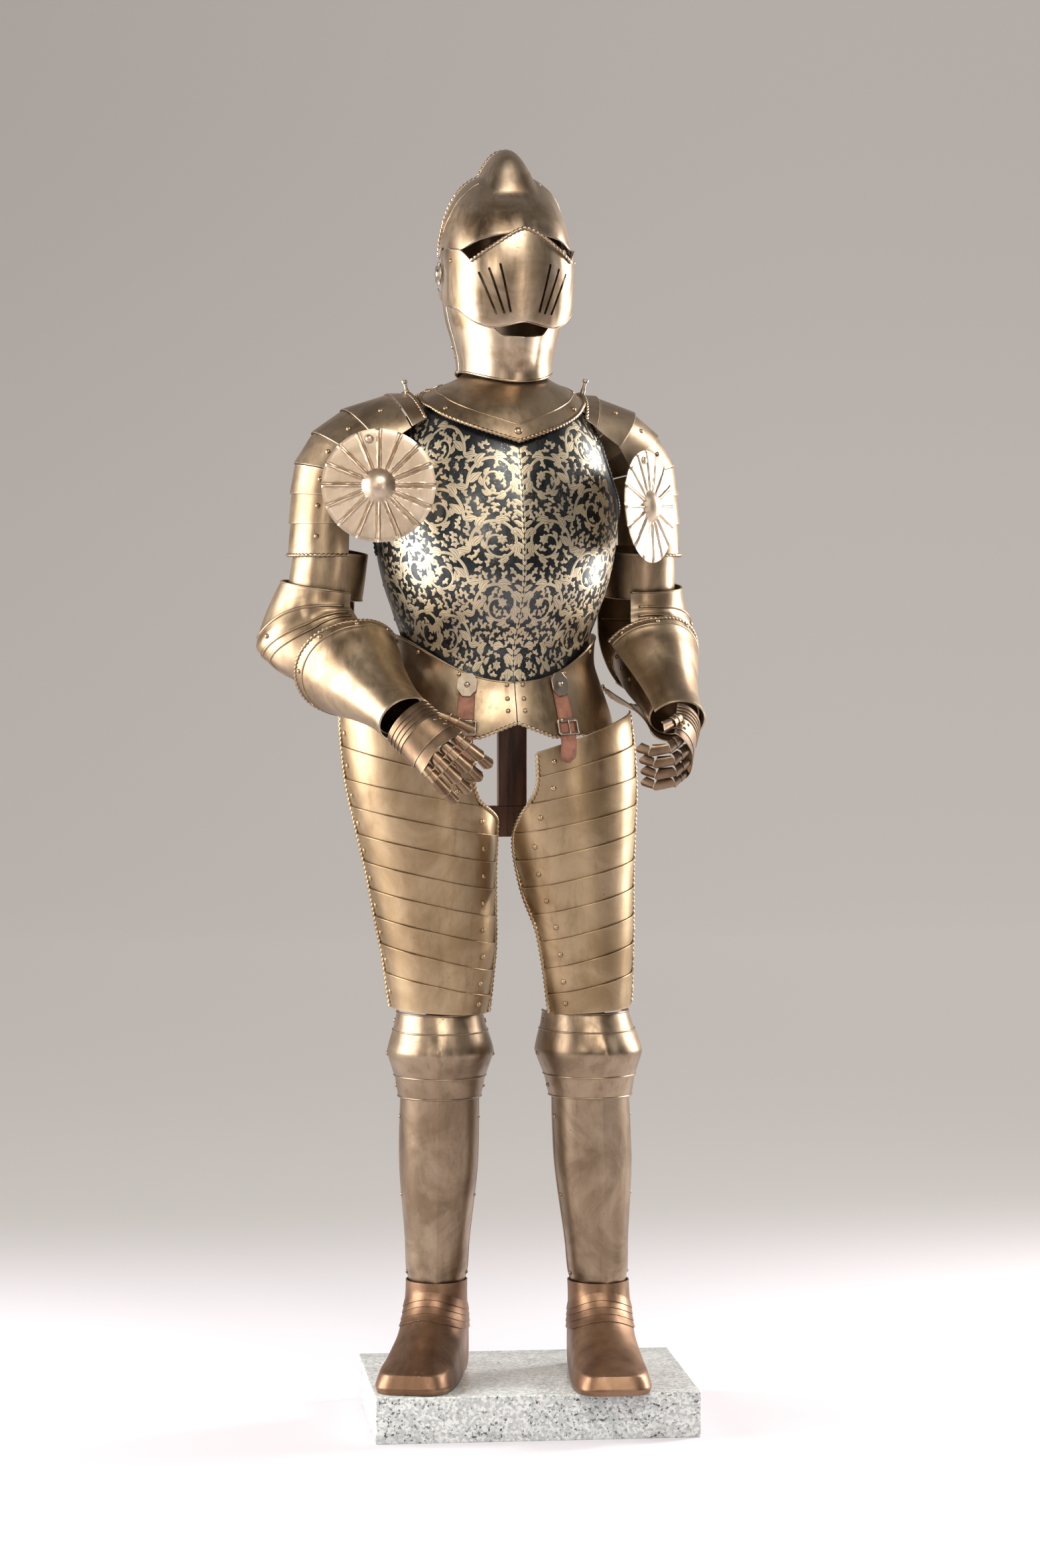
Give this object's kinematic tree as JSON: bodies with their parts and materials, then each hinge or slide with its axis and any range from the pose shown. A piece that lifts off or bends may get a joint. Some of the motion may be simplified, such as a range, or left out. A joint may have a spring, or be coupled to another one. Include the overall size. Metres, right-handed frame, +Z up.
{
  "type": "suit of plate armour on a stand",
  "caption": "Full suit of plate armour with a close helmet whose visor lifts, held up by a timber frame on a granite plinth.",
  "frame": {"origin": "middle of the plinth's underside, where it rests on the floor", "axes": "+Z up, -Y the way the plinth faces, +X towards the suit's left arm; the trunk is turned 6.8 degrees and the helmet 9.3 degrees about +Z"},
  "size_m": [0.6674, 0.4495, 1.8974],
  "materials": {
    "steel": "bright steel gone bronze with tarnish",
    "etched_steel": "blackened ground with etched, gilded leaf scrolls",
    "brassy_steel": "steel with an old golden lacquer",
    "rusty_steel": "browned, slightly rusty steel",
    "leather": "worn harness leather",
    "timber": "dark stained softwood",
    "granite": "polished white and grey granite"
  },
  "bodies": {
    "suit": {"brow_plate": "steel", "skull": "steel", "bevor": "steel", "rosette_right": "steel", "rosette_left": "steel", "gorget_front": "steel", "gorget_back": "steel", "backplate": "steel", "fauld_right": "steel", "fauld_left": "steel", "fauld_back": "steel", "strap_plate_right": "steel", "strap_plate_left": "steel", "neck_lame_right": "steel", "pauldron_right": "steel", "upper_arm_lames_right": "steel", "besagew_right": "steel", "rerebrace_right": "steel", "couter_right": "steel", "vambrace_right": "steel", "cuff_right": "steel", "hand_right": "steel", "poleyn_right": "steel", "greave_right": "steel", "neck_lame_left": "steel", "pauldron_left": "steel", "upper_arm_lames_left": "steel", "besagew_left": "steel", "rerebrace_left": "steel", "couter_left": "steel", "vambrace_left": "steel", "cuff_left": "steel", "hand_left": "steel", "poleyn_left": "steel", "greave_left": "steel", "breastplate": "etched_steel", "thigh_right": "brassy_steel", "sabaton_right": "rusty_steel", "strap_right": "leather", "leg_post_right": "timber", "thigh_left": "brassy_steel", "sabaton_left": "rusty_steel", "strap_left": "leather", "leg_post_left": "timber", "hip_bar": "timber", "post": "timber", "shoulder_bar": "timber", "plinth": "granite"},
    "visor": {"visor": "steel"}
  },
  "joints": [
    {"name": "visor_lift", "type": "hinge", "parent": "suit", "child": "visor", "pos_m": [-0.032, 0.015, 1.714], "axis": [-0.9869, -0.1616, 0], "range_deg": [0, 26]}
  ]
}
